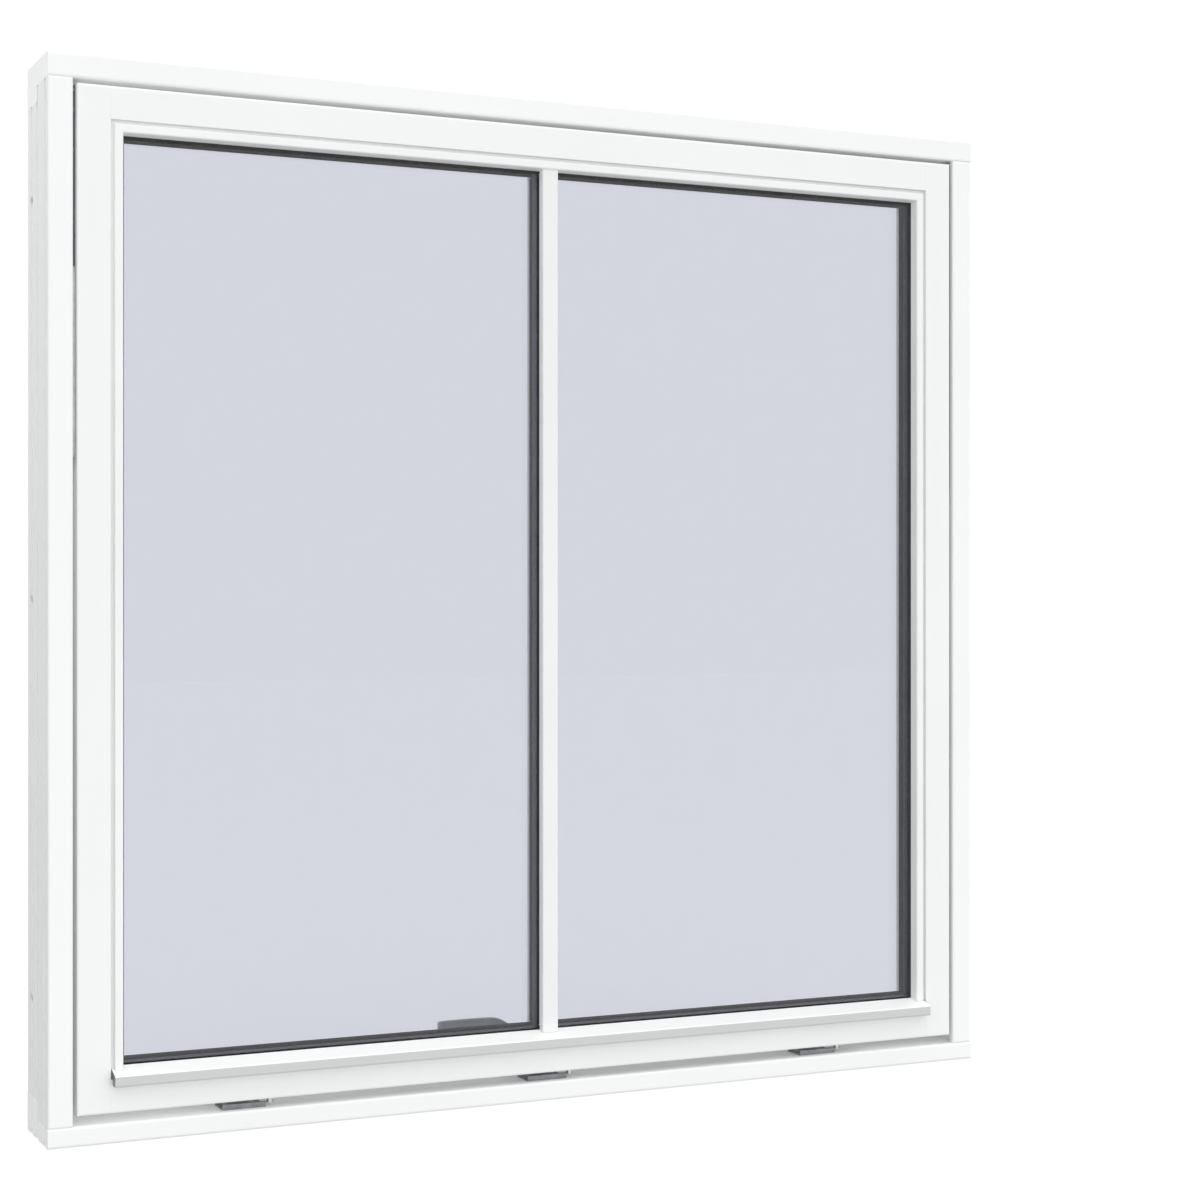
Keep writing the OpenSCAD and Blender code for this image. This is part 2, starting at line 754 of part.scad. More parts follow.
module side_bead() {
    difference() {
        intersection() {
            upright([for (p = bead_section) [p[0] - sash_half, p[1], p[2]]], drip_foot, sash_top);
            union() {
                mitre_wedge(true);
                block([-sash_half, -bead_proud - 1, 0],
                    [0, bead_back + 1, sash_top - sash_half + sash_face]);
            }
        }
        drip_outline(bead_slack, -drip_half - bead_slack, 0);
        block([-half_w, -drip_reach, 0], [0, bead_back + 1, drip_foot + bead_slack]);
    }
}

module bead_left() color(paint) side_bead();
module bead_right() color(paint) mirrored() side_bead();

module top_bead_outline(x0, x1) {
    lengthwise([for (p = bead_section) [p[1], sash_top - p[0], p[2]]], x0, x1);
}

module bead_top() color(paint) intersection() {
    top_bead_outline(-sash_half, sash_half);
    union() {
        both_sides() mitre_wedge(false);
        block([-1, -bead_proud - 1, sash_top - outer_feather], [1, bead_back + 1, sash_top]);
    }
}

// Outline of the drip bead in (v, z), grown on its upper side
module drip_outline(grow, x0, x1) {
    lengthwise([
        [-drip_reach, drip_nose_low, 0.6], [-drip_reach, drip_nose_top + grow, 1.8],
        [bead_back, drip_top + grow, 0], [bead_back, drip_foot, 0],
        [barb_v[1], drip_foot, 0], [barb_v[1], drip_foot - bead_slack - barb_l, 0.4],
        [barb_v[0], drip_foot - bead_slack - barb_l, 0.4], [barb_v[0], drip_foot, 0],
        [drip_lip - drip_reach, drip_foot, 0.8], [drip_lip - drip_reach, drip_nose_low, 0.6]
    ], x0, x1);
}

module drip_bead() color(paint) difference() {
    drip_outline(0, cap_t - drip_half, drip_half - cap_t);
    lengthwise([
        [drip_lip + drip_wall - drip_reach, drip_foot + drip_wall, 0],
        [bead_back - drip_wall, drip_foot + drip_wall, 0],
        [bead_back - drip_wall, drip_top - drip_wall * (1 + drip_slope), 0],
        [drip_lip + drip_wall - drip_reach,
            drip_nose_top - drip_wall + (drip_lip + drip_wall) * drip_slope, 0]
    ], -drip_half, drip_half);
}

// Cap at an end of the drip bead, which reaches down to the foot of the nose
module drip_cap(x0, x1) {
    drip_outline(0, x0, x1);
    block([x0, 1 - drip_reach, drip_nose_low], [x1, -seat, drip_foot + bead_slack]);
}

module drip_cap_left() color(dark_zinc) drip_cap(-drip_half, cap_t - drip_half);
module drip_cap_right() color(dark_zinc) drip_cap(drip_half - cap_t, drip_half);

// Glazing bars reach the beads or the sash lip, and are cut back clear of the gaskets
module glazing_bar_outer() color(paint) difference() {
    upright([
        [-bar_w / 2, pane_v - tape_t, 0], [-bar_w / 2, bar_front, bar_edge],
        [bar_w / 2, bar_front, bar_edge], [bar_w / 2, pane_v - tape_t, 0]
    ], drip_nose_top, sash_top - sight);
    drip_outline(bar_lift, -bar_w, bar_w);
    top_bead_outline(-bar_w, bar_w);
    sash_ring(0, outer_feather + seat, bead_back, pane_v);
}

module glazing_bar_inner() color(paint) difference() {
    upright([
        [-inner_bar_w / 2, pane_back + tape_t, 0], [inner_bar_w / 2, pane_back + tape_t, 0],
        [inner_bar_w / 2, bar_back, bar_edge], [-inner_bar_w / 2, bar_back, bar_edge]
    ], sash_bottom + sight, sash_top - sight);
    sash_ring(0, inner_feather + seat, pane_back, inner_lip_v);
}

module bar_tape() color(seal_black)
    for (v = [pane_v - tape_t, pane_back])
        block([1 - bar_w / 2, v, sash_bottom + inner_feather + seat],
            [bar_w / 2 - 1, v + tape_t, sash_top - inner_feather - seat]);

// ---- Lock and handle ----

module at_keep_screws(x) {
    for (side = [-1, 1])
        translate([x + side * (keep_l / 2 - keep_screw_inset), depth(keep_screw_v), sill_face + keep_base_t])
            children();
}

// Keep: base plate on the sill with a lip that the cams slide behind
module keep(x) {
    difference() {
        lengthwise([
            [keep_front, sill_face, 0], [keep_front, sill_face + keep_rise, 1],
            [keep_front + keep_lip_t, sill_face + keep_rise, 0.6],
            [keep_front + keep_lip_t, sill_face + keep_base_t, 0.6],
            [keep_back, sill_face + keep_base_t, 0.8], [keep_back, sill_face, 0]
        ], x - keep_l / 2, x + keep_l / 2);
        at_keep_screws(x) countersunk_hole(keep_screw_r, keep_screw_l);
    }
}

module keep_left() color(zinc) keep(-keep_x);
module keep_center() color(zinc) keep(0);
module keep_right() color(zinc) keep(keep_x);
module keep_screws() color(zinc)
    for (x = [-keep_x, 0, keep_x]) at_keep_screws(x) countersunk_screw(keep_screw_r, keep_screw_l);

module faceplate_solid(grow) {
    x0 = groove_start - face_margin - grow;
    x1 = groove_end + face_margin + grow;
    half = face_w / 2 + grow;
    translate([0, depth(0), sash_bottom - grow]) linear_extrude(face_t + grow)
        polygon(rounded([
            [x0, lock_v - half, 4], [x1, lock_v - half, 4], [x1, lock_v + half, 4], [x0, lock_v + half, 4]
        ]));
}

module at_faceplate_screws() {
    for (x = [groove_start - face_margin / 2, groove_end + face_margin / 2])
        translate([x, depth(lock_v), sash_bottom]) rotate([180, 0, 0]) children();
}

module lock_faceplate() color(zinc) difference() {
    faceplate_solid(0);
    at_faceplate_screws() countersunk_hole(face_screw_r, face_screw_l);
    for (x = cam_places) {
        slot_r = cam_r + slip;
        for (end = [x - travel, x]) cylinder_z(sash_bottom - 1, rod_z, end, lock_v, slot_r);
        block([x - travel, lock_v - slot_r, sash_bottom - 1], [x, lock_v + slot_r, rod_z]);
    }
}

module faceplate_screws() color(zinc) at_faceplate_screws() countersunk_screw(face_screw_r, face_screw_l);

module lock_case() color(dark_zinc) difference() {
    block([-case_half, case_v[0], case_base], [case_half, case_v[1], case_top]);
    block([case_wall - case_half, case_v[0] + case_wall, case_base - 1],
        [case_half - case_wall, case_v[1] - case_wall, case_top - 1.2]);
    cylinder_y(case_v[0] - 1, case_v[1] + 1, 0, spindle_z, journal_r + run);
}

// Point of the involute of the base circle at radius r, turned to angle a
function involute_angle(r, base_r) =
    sqrt(pow(r / base_r, 2) - 1) * 180 / PI - acos(base_r / r);

// Outline of one tooth of the pinion, centred on angle a
function tooth(a) =
    let (
        gear_base = pitch_r * cos(pressure),
        half_angle = (90 - backlash / tooth_module * 180 / PI) / teeth,
        at_pitch = involute_angle(pitch_r, gear_base),
        root = pitch_r - dedendum,
        tip = pitch_r + addendum,
        radii = [for (k = [0:4]) gear_base + (tip - gear_base) * k / 4],
        flank = [for (r = radii) [r, half_angle + at_pitch - involute_angle(r, gear_base)]],
        left = concat([[root, half_angle + at_pitch]], flank),
        right = [for (k = [len(left) - 1:-1:0]) [left[k][0], -left[k][1]]]
    )
    [for (p = concat([for (q = left) [q[0], -q[1]]], [for (q = right) [q[0], -q[1]]]))
        p[0] * [cos(a + p[1]), sin(a + p[1])]];

module lock_pinion() color(zinc) difference() {
    union() {
        translate([0, depth(lock_v + gear_w / 2), spindle_z]) rotate([90, 0, 0])
            linear_extrude(gear_w)
                polygon([for (k = [0:teeth - 1]) each tooth(k * 360 / teeth + 90)]);
        cylinder_y(case_v[0] + 0.2, case_v[1] - 0.2, 0, spindle_z, journal_r);
    }
    block([-spindle_w / 2 - run, case_v[0] - 1, spindle_z - spindle_w / 2 - run],
        [spindle_w / 2 + run, case_v[1] + 1, spindle_z + spindle_w / 2 + run]);
}

// Outline of the rack in (x, z): teeth on both sides of gaps centred on multiples of the pitch
rack_pitch = PI * tooth_module;
rack_spaces = [for (k = [-2:ceil(travel / rack_pitch) + 2]) k * rack_pitch];
rack_root = rack_pitch_z - dedendum;
rack_tip = rack_pitch_z + addendum;
function rack_half(z) = rack_pitch / 4 + backlash / 2 + (z - rack_pitch_z) * tan(pressure);

module rack() {
    first = rack_spaces[0] - rack_pitch / 2;
    last = rack_spaces[len(rack_spaces) - 1] + rack_pitch / 2;
    translate([0, depth(lock_v + gear_w / 2), 0]) rotate([90, 0, 0]) linear_extrude(gear_w)
        polygon(concat(
            [[first, rod_z + rod_t], [first, rack_tip]],
            [for (x = rack_spaces) each [
                [x - rack_half(rack_tip), rack_tip], [x - rack_half(rack_root), rack_root],
                [x + rack_half(rack_root), rack_root], [x + rack_half(rack_tip), rack_tip]
            ]],
            [[last, rack_tip], [last, rod_z + rod_t]]
        ));
}

module lock_rod() color(zinc) {
    difference() {
        block([rod_start, lock_v - rod_w / 2, rod_z], [rod_end, lock_v + rod_w / 2, rod_z + rod_t]);
        for (x = cam_places) cylinder_z(rod_z - 1, rod_z + rod_t + 1, x, lock_v, tenon_r);
    }
    rack();
}

// Cam: tenon riveted in the rod, roller below it and a thin flange at its foot
module lock_cams() color(zinc) for (x = cam_places) {
    cylinder_z(rod_z, rod_z + rod_t, x, lock_v, tenon_r - run);
    cylinder_z(cam_foot + cam_flange_t, rod_z, x, lock_v, cam_r);
    cylinder_z(cam_foot, cam_foot + cam_flange_t, x, lock_v, cam_r + cam_flange);
}

module at_handle_screws() {
    for (x = [-base_screw_x, base_screw_x])
        translate([x, depth(sash_d + base_t), spindle_z]) rotate([-90, 0, 0]) children();
}

module handle_base() color(satin) difference() {
    inward([
        [-base_screw_x - base_r, spindle_z - base_r, base_r - 0.1],
        [base_screw_x + base_r, spindle_z - base_r, base_r - 0.1],
        [base_screw_x + base_r, spindle_z + base_r, base_r - 0.1],
        [-base_screw_x - base_r, spindle_z + base_r, base_r - 0.1]
    ], sash_d, sash_d + base_t);
    cylinder_y(sash_d - 1, sash_d + base_t + 1, 0, spindle_z, spindle_w * 0.75 + run);
    at_handle_screws() countersunk_hole(base_screw_r, base_screw_l);
}

module handle_screws() color(zinc) at_handle_screws() countersunk_screw(base_screw_r, base_screw_l);

module handle_spindle() color(zinc)
    block([-spindle_w / 2, case_v[0] + 0.4, spindle_z - spindle_w / 2],
        [spindle_w / 2, sash_d + base_t + 6, spindle_z + spindle_w / 2]);

// Lever: cranked up and back from the hub to a flat grip
module handle_lever() color(satin) difference() {
    union() {
        intersection() {
            inward([
                [-lever_l, grip_z[1], 5], [-lever_bend, grip_z[1], 14], [hub_r, spindle_z + hub_r, 3],
                [hub_r, spindle_z - hub_r, hub_r - 0.2], [-hub_r, spindle_z - hub_r, hub_r - 0.2],
                [-hub_r, spindle_z + 2, 3], [-lever_bend - 4, grip_z[0], 12], [-lever_l, grip_z[0], 5]
            ], sash_d + base_t + slip, grip_v[1]);
            upright([
                [hub_r, sash_d + base_t, 0], [hub_r, sash_d + base_t + 13, 5], [-18, grip_v[1], 8],
                [-lever_l, grip_v[1], 3.5], [-lever_l, grip_v[0], 3.5], [-27, grip_v[0], 8],
                [-hub_r, sash_d + base_t + 4, 2], [-hub_r, sash_d + base_t, 0]
            ], 0, frame_h);
        }
        cylinder_y(sash_d + 1.5, sash_d + base_t + slip, 0, spindle_z, spindle_w * 0.75);
    }
    block([-spindle_w / 2 - run, sash_d, spindle_z - spindle_w / 2 - run],
        [spindle_w / 2 + run, sash_d + base_t + 6 + run, spindle_z + spindle_w / 2 + run]);
}

// ---- Assembly ----

frame_head();
frame_sill();
frame_jamb_left();
frame_jamb_right();
frame_gasket();
frame_corner_screws();
frame_sleeves();
guide_rail_left();
guide_rail_right();
guide_rail_screws();
arm_foot_pins();
keep_left();
keep_center();
keep_right();
keep_screws();
stay_arm_left();
stay_arm_right();
arm_bushes();
guide_shoe_left();
guide_shoe_right();
sash_top_rail();
sash_bottom_rail();
sash_stile_left();
sash_stile_right();
sash_dowels();
glass_outer();
glass_inner();
spacer_frame();
spacer_bar();
edge_sealant();
glazing_gasket_outer();
glazing_gasket_inner();
setting_blocks();
bead_top();
bead_left();
bead_right();
drip_bead();
drip_cap_left();
drip_cap_right();
glazing_bar_outer();
glazing_bar_inner();
bar_tape();
sash_plate_left();
sash_plate_right();
sash_plate_screws();
arm_middle_pins();
shoe_pins();
lock_case();
lock_pinion();
lock_rod();
lock_cams();
lock_faceplate();
faceplate_screws();
handle_base();
handle_screws();
handle_spindle();
handle_lever();
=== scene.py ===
import json
import math

import bmesh
import bpy
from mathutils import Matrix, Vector


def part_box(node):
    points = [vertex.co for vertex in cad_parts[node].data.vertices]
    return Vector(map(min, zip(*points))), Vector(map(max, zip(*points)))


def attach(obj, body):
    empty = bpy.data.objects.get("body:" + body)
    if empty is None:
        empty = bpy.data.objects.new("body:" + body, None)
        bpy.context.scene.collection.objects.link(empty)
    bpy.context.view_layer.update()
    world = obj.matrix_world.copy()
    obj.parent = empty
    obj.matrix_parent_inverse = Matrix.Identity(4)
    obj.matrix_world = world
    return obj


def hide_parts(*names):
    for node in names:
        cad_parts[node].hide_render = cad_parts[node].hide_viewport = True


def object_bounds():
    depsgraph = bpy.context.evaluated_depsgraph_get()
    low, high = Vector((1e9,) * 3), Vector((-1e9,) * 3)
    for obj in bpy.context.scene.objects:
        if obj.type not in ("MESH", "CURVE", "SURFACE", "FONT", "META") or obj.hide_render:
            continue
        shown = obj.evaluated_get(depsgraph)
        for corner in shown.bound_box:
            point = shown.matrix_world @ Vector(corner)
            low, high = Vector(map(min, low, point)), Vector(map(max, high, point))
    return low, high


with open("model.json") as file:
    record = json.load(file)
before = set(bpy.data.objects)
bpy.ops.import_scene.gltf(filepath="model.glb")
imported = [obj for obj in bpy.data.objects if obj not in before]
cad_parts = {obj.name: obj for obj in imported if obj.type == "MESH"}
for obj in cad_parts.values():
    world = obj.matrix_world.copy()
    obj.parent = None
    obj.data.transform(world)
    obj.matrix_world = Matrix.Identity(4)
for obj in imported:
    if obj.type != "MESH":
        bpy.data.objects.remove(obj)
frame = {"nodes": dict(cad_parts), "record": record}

CAD_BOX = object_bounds()
MM = 0.001
NODES = frame["nodes"]
BODY_OF = {n: b for b, ns in frame["record"]["behaviour"]["bodies"].items() for n in ns}


# ---- Camera, light and floor ----

SENSOR, LENS = 36, 69.69       # mm
CAMERA_LEFT = 0.5204           # from the left jamb's outer side
CAMERA_OUT = 2.5242            # from the frame's front face
CAMERA_YAW = 25.02             # degrees, towards the window
SKY_LEFT = (0.58, 0.0)         # strength from the left, in front of the window and behind it
SKY_HEIGHT = (0.55, 1.3)       # strength from below and from overhead
BACKDROP = 1.07                # what stands behind, seen directly, through glass or as a reflection
FLOOR_HALF = 14
FLOOR_TONE = 0.2
FLOOR_GRAIN = 0.004            # how far the tone wanders either way
FLOOR_GLOW = 0.825             # light table under the window, which softens its shadow


def make_camera():
    """Camera at mid height, to the left of the window and 2.5 m out, turned towards it."""
    low, high = CAD_BOX
    data = bpy.data.cameras.new("camera")
    data.sensor_width = SENSOR
    data.lens = LENS
    camera = bpy.data.objects.new("camera", data)
    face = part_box("frame_head")[0].y
    camera.location = (low.x - CAMERA_LEFT, face - CAMERA_OUT, (low.z + high.z) / 2)
    camera.rotation_euler = (math.radians(90), 0, math.radians(-CAMERA_YAW))
    bpy.context.scene.collection.objects.link(camera)
    bpy.context.scene.camera = camera


def make_world():
    """White surround. As light it is strongest overhead, weak from below and dimmer from the left.

    Generated coordinates give the direction: X to the right, Y to behind the window, Z up.
    """
    world = bpy.data.worlds.new("studio")
    bpy.context.scene.world = world
    world.use_nodes = True
    tree = world.node_tree
    tree.nodes.clear()
    link = tree.links.new
    output = tree.nodes.new("ShaderNodeOutputWorld")
    background = tree.nodes.new("ShaderNodeBackground")
    coords = tree.nodes.new("ShaderNodeTexCoord")
    split = tree.nodes.new("ShaderNodeSeparateXYZ")
    link(coords.outputs["Generated"], split.inputs[0])
    left = map_range(tree, split.outputs["Y"], -0.7, 0.7, *SKY_LEFT)
    side = tree.nodes.new("ShaderNodeMix")
    link(map_range(tree, split.outputs["X"], -0.95, -0.2, 0, 1), side.inputs["Factor"])
    link(left, side.inputs[2])
    side.inputs[3].default_value = 1
    height = map_range(tree, split.outputs["Z"], -0.5, 0.8, *SKY_HEIGHT)
    light = tree.nodes.new("ShaderNodeMath")
    light.operation = "MULTIPLY"
    link(side.outputs[0], light.inputs[0])
    link(height, light.inputs[1])
    path = tree.nodes.new("ShaderNodeLightPath")
    seen = path.outputs["Is Camera Ray"]
    for kind in ("Is Transmission Ray", "Is Glossy Ray"):
        either = tree.nodes.new("ShaderNodeMath")
        either.operation = "MAXIMUM"
        link(seen, either.inputs[0])
        link(path.outputs[kind], either.inputs[1])
        seen = either.outputs[0]
    strength = tree.nodes.new("ShaderNodeMix")
    link(seen, strength.inputs["Factor"])
    link(light.outputs[0], strength.inputs[2])
    strength.inputs[3].default_value = BACKDROP
    link(strength.outputs[0], background.inputs["Strength"])
    background.inputs["Color"].default_value = (1, 1, 1, 1)
    link(background.outputs[0], output.inputs["Surface"])


def add_light(data, place, towards):
    """Shadowless light that only brightens surfaces: it is never seen in or through the glass."""
    data.use_shadow = False
    light = bpy.data.objects.new(data.name, data)
    light.location = place
    light.rotation_euler = Vector(towards).to_track_quat("-Z", "Y").to_euler()
    light.visible_glossy = False
    light.visible_transmission = False
    bpy.context.scene.collection.objects.link(light)


def make_fill(name, towards, irradiance):
    """Broad fill, which keeps the narrow gaps from going black."""
    data = bpy.data.lights.new(name, "SUN")
    data.energy = irradiance
    data.angle = math.radians(80)
    add_light(data, (0, 0, 0), towards)


def make_side_light():
    """Panel above and beside the left jamb, so that its outer side fades downwards."""
    low, high = CAD_BOX
    data = bpy.data.lights.new("side_light", "AREA")
    data.size = 1
    data.energy = 11
    place = Vector((low.x - 1.3, 0, high.z + 1))
    add_light(data, place, Vector((low.x, 0, (low.z + high.z) / 2)) - place)


def make_floor():
    """Wide pale floor just under the window. Its glow is seen and reflected, but lights nothing."""
    half = FLOOR_HALF
    mesh = bpy.data.meshes.new("floor")
    corners = [(-half, -half, 0), (half, -half, 0), (half, half, 0), (-half, half, 0)]
    mesh.from_pydata(corners, [], [(0, 1, 2, 3)])
    floor = bpy.data.objects.new("floor", mesh)
    floor.location.z = CAD_BOX[0].z - 0.5 * MM
    floor.visible_diffuse = False
    bpy.context.scene.collection.objects.link(floor)
    material, tree, shader = new_material("floor")
    grain = noise(tree, object_coords(tree), 3, 4)
    tint = mix_colour(tree, grain, (FLOOR_TONE - FLOOR_GRAIN,) * 3, (FLOOR_TONE + FLOOR_GRAIN,) * 3)
    tree.links.new(tint, shader.inputs["Base Color"])
    shader.inputs["Roughness"].default_value = 1
    shader.inputs["Specular IOR Level"].default_value = 0
    shader.inputs["Emission Color"].default_value = (1, 1, 1, 1)
    shader.inputs["Emission Strength"].default_value = FLOOR_GLOW
    floor.data.materials.append(material)


# ---- Material building blocks ----

CREVICE_REACH = 7 * MM         # how near another face brings on the painted crevice shade
CREVICE_SHADE = 0.86           # share of the tint that is left deep in a groove


def new_material(name):
    material = bpy.data.materials.new(name)
    material.use_nodes = True
    tree = material.node_tree
    return material, tree, tree.nodes["Principled BSDF"]


def object_coords(tree, scale=(1, 1, 1)):
    coords = tree.nodes.new("ShaderNodeTexCoord")
    mapping = tree.nodes.new("ShaderNodeMapping")
    mapping.inputs["Scale"].default_value = scale
    tree.links.new(coords.outputs["Object"], mapping.inputs["Vector"])
    return mapping.outputs["Vector"]


def noise(tree, vector, scale, detail=3, roughness=0.5):
    node = tree.nodes.new("ShaderNodeTexNoise")
    node.inputs["Scale"].default_value = scale
    node.inputs["Detail"].default_value = detail
    node.inputs["Roughness"].default_value = roughness
    tree.links.new(vector, node.inputs["Vector"])
    return node.outputs["Fac"]


def map_range(tree, value, from_low, from_high, to_low, to_high):
    node = tree.nodes.new("ShaderNodeMapRange")
    node.inputs["From Min"].default_value = from_low
    node.inputs["From Max"].default_value = from_high
    node.inputs["To Min"].default_value = to_low
    node.inputs["To Max"].default_value = to_high
    tree.links.new(value, node.inputs["Value"])
    return node.outputs["Result"]


def mix_colour(tree, factor, first, second):
    """Mixes two colours, each either three numbers or an output socket."""
    node = tree.nodes.new("ShaderNodeMix")
    node.data_type = "RGBA"
    tree.links.new(factor, node.inputs["Factor"])
    for socket, colour in ((node.inputs[6], first), (node.inputs[7], second)):
        if isinstance(colour, tuple):
            socket.default_value = (*colour, 1)
        else:
            tree.links.new(colour, socket)
    return node.outputs[2]


def add(tree, first, second, factor=1.0):
    """first + factor * second."""
    node = tree.nodes.new("ShaderNodeMath")
    node.operation = "MULTIPLY_ADD"
    node.inputs[1].default_value = factor
    tree.links.new(second, node.inputs[0])
    tree.links.new(first, node.inputs[2])
    return node.outputs[0]


def bump(tree, shader, height, distance, strength=1.0):
    node = tree.nodes.new("ShaderNodeBump")
    node.inputs["Strength"].default_value = strength
    node.inputs["Distance"].default_value = distance
    tree.links.new(height, node.inputs["Height"])
    tree.links.new(node.outputs["Normal"], shader.inputs["Normal"])


def painted_crevice_shade(tree, tint):
    """Painted shade: darkens a pale tint where faces are near each other, in joints, grooves and inner
    corners.
    """
    open_share = tree.nodes.new("ShaderNodeAmbientOcclusion")
    open_share.samples = 6
    open_share.inputs["Distance"].default_value = CREVICE_REACH
    # Painted shade: the tint is multiplied down where ambient occlusion finds nearby faces
    shaded_tint = tree.nodes.new("ShaderNodeMix")
    shaded_tint.data_type = "RGBA"
    shaded_tint.blend_type = "MULTIPLY"
    shaded_tint.inputs["Factor"].default_value = 1
    tree.links.new(tint, shaded_tint.inputs[6])
    shade = map_range(tree, open_share.outputs["AO"], 0.15, 0.85, CREVICE_SHADE, 1)
    tree.links.new(shade, shaded_tint.inputs[7])
    return shaded_tint.outputs[2]


def painted_timber(name, along, pale, deep, side_shade=1.0):
    """Sprayed paint over planed timber: faint long grain, fine orange peel, slightly uneven tone.

    The last argument paints shade on the faces that look left and right. Joints, grooves and inner corners
    get painted shade as well.
    """
    material, tree, shader = new_material(name)
    lengthwise, across = 7, 160
    scale = tuple(lengthwise if axis == along else across for axis in "XYZ")
    grain = noise(tree, object_coords(tree, scale), 1, 6, 0.62)
    peel = noise(tree, object_coords(tree), 1400, 2)
    cloud = noise(tree, object_coords(tree), 5, 3)
    tone = add(tree, cloud, grain, 0.3)
    spread = map_range(tree, tone, 0.4, 1.0, 0, 1)
    unshaded_tint = mix_colour(tree, spread, deep, pale)
    # Painted shade on the faces that look left and right
    side_shaded_tint = mix_colour(tree, spread, *(tuple(c * side_shade for c in coat) for coat in (deep, pale)))
    tint = mix_colour(tree, sideways(tree), unshaded_tint, side_shaded_tint)
    # Painted shade in joints, grooves and inner corners
    tree.links.new(painted_crevice_shade(tree, tint), shader.inputs["Base Color"])
    tree.links.new(map_range(tree, add(tree, peel, grain, 0.6), 0.4, 1.2, 0.34, 0.5),
                   shader.inputs["Roughness"])
    bump(tree, shader, add(tree, peel, grain, 1.0), 0.05 * MM, 0.4)
    return material


def coated_metal(name, pale, deep):
    """Powder coat: fine even orange peel over a slightly cloudy tone, with painted shade in joints, grooves
    and inner corners.
    """
    material, tree, shader = new_material(name)
    peel = noise(tree, object_coords(tree), 1900, 2)
    cloud = noise(tree, object_coords(tree), 9, 3)
    tint = mix_colour(tree, map_range(tree, cloud, 0.3, 0.7, 0, 1), deep, pale)
    # Painted shade in joints, grooves and inner corners
    tint = painted_crevice_shade(tree, tint)
    tree.links.new(tint, shader.inputs["Base Color"])
    tree.links.new(map_range(tree, peel, 0.2, 0.8, 0.3, 0.44), shader.inputs["Roughness"])
    bump(tree, shader, peel, 0.05 * MM, 0.4)
    return material, tree, shader, tint


def object_axis(tree, output, axis):
    """One axis of the object's own coordinates or normal."""
    coords = tree.nodes.new("ShaderNodeTexCoord")
    split = tree.nodes.new("ShaderNodeSeparateXYZ")
    tree.links.new(coords.outputs[output], split.inputs[0])
    return split.outputs[axis]


def sideways(tree):
    """1 on faces that look left or right, 0 on the others."""
    size = tree.nodes.new("ShaderNodeMath")
    size.operation = "ABSOLUTE"
    tree.links.new(object_axis(tree, "Normal", "X"), size.inputs[0])
    return map_range(tree, size.outputs[0], 0.8, 0.9, 0, 1)


def nose_and_shaded_edge(tree, tint, nose, line):
    """Tint, but the nose colour on what faces straight out, and painted shade in the line colour along the
    lower edge of the drip.
    """
    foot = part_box("drip_bead")[0].z
    facing_out = map_range(tree, object_axis(tree, "Normal", "Y"), -0.9, -0.985, 0, 1)
    # Painted shade along the lower edge of the drip
    edge_shade = map_range(tree, object_axis(tree, "Object", "Z"), foot + 2.2 * MM, foot + 1.2 * MM, 0, 1)
    return mix_colour(tree, edge_shade, mix_colour(tree, facing_out, tint, nose), line)


def drip_coating(name, pale, deep, nose, line):
    material, tree, shader, tint = coated_metal(name, pale, deep)
    tree.links.new(nose_and_shaded_edge(tree, tint, nose, line), shader.inputs["Base Color"])
    return material


def cap_coating(name, pale, deep, nose, line, dark, light):
    """Coated round its rim like the drip, painted shade along the lower edge included, with a bare mottled
    end face.
    """
    material, tree, shader, tint = coated_metal(name, pale, deep)
    speckle = noise(tree, object_coords(tree), 260, 3, 0.7)
    bare = mix_colour(tree, map_range(tree, speckle, 0.38, 0.62, 0, 1), dark, light)
    # The rim gets the nose colour and painted shade along the lower edge
    rim = nose_and_shaded_edge(tree, tint, nose, line)
    tree.links.new(mix_colour(tree, sideways(tree), rim, bare), shader.inputs["Base Color"])
    return material


def rubber(name, dark, light, roughness):
    material, tree, shader = new_material(name)
    grain = noise(tree, object_coords(tree), 700, 4, 0.6)
    bloom = noise(tree, object_coords(tree), 30, 3)
    tint = mix_colour(tree, map_range(tree, bloom, 0.3, 0.75, 0, 1), dark, light)
    tree.links.new(tint, shader.inputs["Base Color"])
    tree.links.new(map_range(tree, grain, 0.2, 0.8, roughness - 0.1, roughness + 0.1),
                   shader.inputs["Roughness"])
    bump(tree, shader, grain, 0.12 * MM, 0.5)
    return material


def mottled(name, dark, light, roughness, scale=900):
    """Moulded plastic with a speckled face."""
    material, tree, shader = new_material(name)
    speckle = noise(tree, object_coords(tree), scale, 3, 0.7)
    tint = mix_colour(tree, map_range(tree, speckle, 0.38, 0.62, 0, 1), dark, light)
    tree.links.new(tint, shader.inputs["Base Color"])
    tree.links.new(map_range(tree, speckle, 0.3, 0.7, roughness - 0.08, roughness + 0.08),
                   shader.inputs["Roughness"])
    bump(tree, shader, speckle, 0.08 * MM, 0.5)
    return material


def plated(name, dark, light, roughness, along="Z"):
    """Zinc-plated steel: rolling lines along one axis and a cloudy passivated tone."""
    material, tree, shader = new_material(name)
    scale = tuple(20 if axis == along else 2600 for axis in "XYZ")
    lines = noise(tree, object_coords(tree, scale), 1, 3)
    cloud = noise(tree, object_coords(tree), 70, 4, 0.6)
    tint = mix_colour(tree, map_range(tree, cloud, 0.3, 0.7, 0, 1), dark, light)
    tree.links.new(tint, shader.inputs["Base Color"])
    tree.links.new(map_range(tree, add(tree, cloud, lines, 0.5), 0.4, 1.1, roughness - 0.08, roughness + 0.1),
                   shader.inputs["Roughness"])
    shader.inputs["Metallic"].default_value = 0.85
    bump(tree, shader, add(tree, lines, cloud, 0.4), 0.02 * MM, 0.5)
    return material


